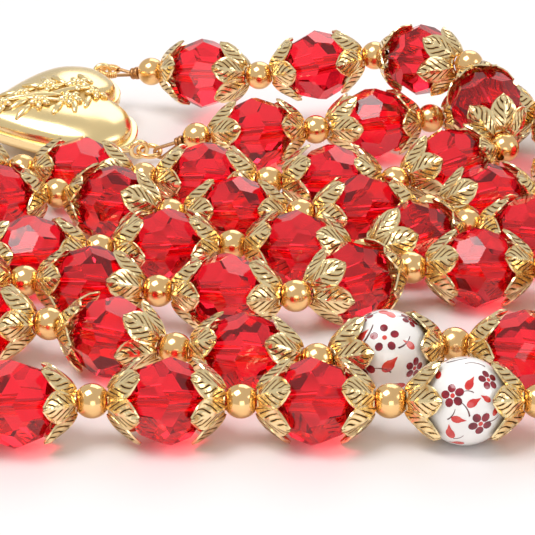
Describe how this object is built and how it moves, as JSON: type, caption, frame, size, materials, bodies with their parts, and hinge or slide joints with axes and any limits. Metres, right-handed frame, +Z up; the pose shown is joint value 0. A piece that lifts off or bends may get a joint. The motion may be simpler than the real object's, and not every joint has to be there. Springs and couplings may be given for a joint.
{
  "type": "rosary",
  "caption": "Strung rosary laid in folded rows: cut red crystal and flowered porcelain beads, gold leaf caps and spacers, puffed heart centre and a drop with a cross.",
  "frame": {"origin": "middle of the rosary's footprint, on the table it lies on", "axes": "+X along the long bead rows to the right, +Y towards the heart and away from the front row, +Z up"},
  "size_m": [0.1648, 0.1318, 0.0172],
  "materials": {
    "red_crystal": "clear cut glass",
    "porcelain": "glossy white glaze with painted blossoms",
    "antique_gold": "antique gold with dark recesses",
    "bright_gold": "polished gold plate",
    "wire": "gold-coloured beading wire",
    "copper_crimp": "brown gold"
  },
  "bodies": {
    "strand_loop": {"crystals_decade_2": "red_crystal", "crystals_decade_3": "red_crystal", "crystals_decade_4": "red_crystal", "crystals_decade_5": "red_crystal", "leaf_caps_decade_1": "antique_gold", "leaf_caps_decade_2": "antique_gold", "leaf_caps_decade_3": "antique_gold", "leaf_caps_decade_4": "antique_gold", "leaf_caps_decade_5": "antique_gold", "loop_wire": "wire", "lower_crimp": "copper_crimp", "lower_jump_ring": "bright_gold", "porcelain_leaf_caps": "antique_gold", "spacers_decade_1": "bright_gold", "spacers_decade_2": "bright_gold", "spacers_decade_3": "bright_gold", "spacers_decade_4": "bright_gold", "spacers_decade_5": "bright_gold", "upper_crimp": "copper_crimp", "upper_wire_guard": "bright_gold"},
    "heart": {"heart_back": "bright_gold", "heart_front": "bright_gold", "heart_relief": "bright_gold"},
    "drop": {"drop_wire": "wire", "drop_upper_crimp": "copper_crimp", "drop_lower_crimp": "copper_crimp", "drop_jump_ring": "bright_gold", "cross_jump_ring": "bright_gold", "drop_leaf_caps": "antique_gold", "drop_spacers": "bright_gold"},
    "cross": {"cross_body": "antique_gold", "cross_relief": "bright_gold"},
    "crystal_01": {"crystal_01": "red_crystal"},
    "crystal_02": {"crystal_02": "red_crystal"},
    "crystal_03": {"crystal_03": "red_crystal"},
    "crystal_04": {"crystal_04": "red_crystal"},
    "crystal_05": {"crystal_05": "red_crystal"},
    "crystal_06": {"crystal_06": "red_crystal"},
    "crystal_07": {"crystal_07": "red_crystal"},
    "crystal_08": {"crystal_08": "red_crystal"},
    "crystal_09": {"crystal_09": "red_crystal"},
    "crystal_10": {"crystal_10": "red_crystal"},
    "porcelain_bead_1": {"porcelain_bead_1": "porcelain"},
    "porcelain_bead_2": {"porcelain_bead_2": "porcelain"},
    "porcelain_bead_3": {"porcelain_bead_3": "porcelain"},
    "porcelain_bead_4": {"porcelain_bead_4": "porcelain"},
    "porcelain_bead_5": {"porcelain_bead_5": "porcelain"},
    "porcelain_bead_6": {"porcelain_bead_6": "porcelain"},
    "drop_crystal_1": {"drop_crystal_1": "red_crystal"},
    "drop_crystal_2": {"drop_crystal_2": "red_crystal"},
    "drop_crystal_3": {"drop_crystal_3": "red_crystal"}
  },
  "joints": [
    {"name": "heart_swing", "type": "hinge", "parent": "strand_loop", "child": "heart", "pos_m": [-0.01037, 0.06388, 0.00593], "axis": [-0.2722, 0.9494, 0.1564], "range_deg": [0, 45]},
    {"name": "drop_swing", "type": "hinge", "parent": "heart", "child": "drop", "pos_m": [-0.02902, 0.04693, 0.00416], "axis": [0, 0, 1], "range_deg": [-20, 0]},
    {"name": "cross_swing", "type": "hinge", "parent": "drop", "child": "cross", "pos_m": [-0.06936, -0.02508, 0.0015], "axis": [-1, 0, 0], "range_deg": [0, 80]},
    {"name": "crystal_01_spin", "type": "hinge", "parent": "strand_loop", "child": "crystal_01", "pos_m": [0.00462, 0.05971, 0.00725], "axis": [0.9359, -0.3406, 0.0898], "continuous": true},
    {"name": "crystal_02_spin", "type": "hinge", "parent": "strand_loop", "child": "crystal_02", "pos_m": [0.02064, 0.05686, 0.0095], "axis": [0.9837, 0, 0.1796], "continuous": true},
    {"name": "crystal_03_spin", "type": "hinge", "parent": "strand_loop", "child": "crystal_03", "pos_m": [0.03518, 0.05155, 0.01225], "axis": [0.7574, -0.6355, 0.1497], "continuous": true},
    {"name": "crystal_04_spin", "type": "hinge", "parent": "strand_loop", "child": "crystal_04", "pos_m": [0.0435, 0.03882, 0.01025], "axis": [0.2384, -0.8898, -0.3892], "continuous": true},
    {"name": "crystal_05_spin", "type": "hinge", "parent": "strand_loop", "child": "crystal_05", "pos_m": [0.03798, 0.02789, 0.006], "axis": [-0.8998, -0.4196, -0.1198], "continuous": true},
    {"name": "crystal_06_spin", "type": "hinge", "parent": "strand_loop", "child": "crystal_06", "pos_m": [0.02211, 0.02438, 0.005], "axis": [-1, 0, 0], "continuous": true},
    {"name": "crystal_07_spin", "type": "hinge", "parent": "strand_loop", "child": "crystal_07", "pos_m": [0.00544, 0.02511, 0.005], "axis": [-0.9962, 0.0872, 0], "continuous": true},
    {"name": "crystal_08_spin", "type": "hinge", "parent": "strand_loop", "child": "crystal_08", "pos_m": [-0.0111, 0.02729, 0.005], "axis": [-0.9848, 0.1736, 0], "continuous": true},
    {"name": "crystal_09_spin", "type": "hinge", "parent": "strand_loop", "child": "crystal_09", "pos_m": [-0.02767, 0.02874, 0.005], "axis": [-1, 0, 0], "continuous": true},
    {"name": "crystal_10_spin", "type": "hinge", "parent": "strand_loop", "child": "crystal_10", "pos_m": [-0.04325, 0.02456, 0.005], "axis": [-0.866, -0.5, 0], "continuous": true},
    {"name": "porcelain_bead_1_spin", "type": "hinge", "parent": "strand_loop", "child": "porcelain_bead_1", "pos_m": [-0.05401, 0.01282, 0.005], "axis": [-0.4226, -0.9063, 0], "continuous": true},
    {"name": "porcelain_bead_2_spin", "type": "hinge", "parent": "strand_loop", "child": "porcelain_bead_2", "pos_m": [0.0274, -0.02788, 0.005], "axis": [-0.9659, -0.2588, 0], "continuous": true},
    {"name": "porcelain_bead_3_spin", "type": "hinge", "parent": "strand_loop", "child": "porcelain_bead_3", "pos_m": [0.03569, -0.0405, 0.005], "axis": [1, 0, 0], "continuous": true},
    {"name": "porcelain_bead_4_spin", "type": "hinge", "parent": "strand_loop", "child": "porcelain_bead_4", "pos_m": [-0.02678, 0.00675, 0.005], "axis": [-0.342, 0.9397, 0], "continuous": true},
    {"name": "porcelain_bead_5_spin", "type": "hinge", "parent": "drop", "child": "porcelain_bead_5", "pos_m": [-0.04655, 0.04413, 0.005], "axis": [-0.9903, -0.1392, 0], "continuous": true},
    {"name": "porcelain_bead_6_spin", "type": "hinge", "parent": "drop", "child": "porcelain_bead_6", "pos_m": [-0.07009, -0.00817, 0.005], "axis": [0.0872, -0.9962, 0], "continuous": true},
    {"name": "drop_crystal_1_spin", "type": "hinge", "parent": "drop", "child": "drop_crystal_1", "pos_m": [-0.06166, 0.03818, 0.005], "axis": [-0.8192, -0.5736, 0], "continuous": true},
    {"name": "drop_crystal_2_spin", "type": "hinge", "parent": "drop", "child": "drop_crystal_2", "pos_m": [-0.06966, 0.02512, 0.005], "axis": [-0.1392, -0.9903, 0], "continuous": true},
    {"name": "drop_crystal_3_spin", "type": "hinge", "parent": "drop", "child": "drop_crystal_3", "pos_m": [-0.07082, 0.0085, 0.005], "axis": [0, -1, 0], "continuous": true}
  ]
}
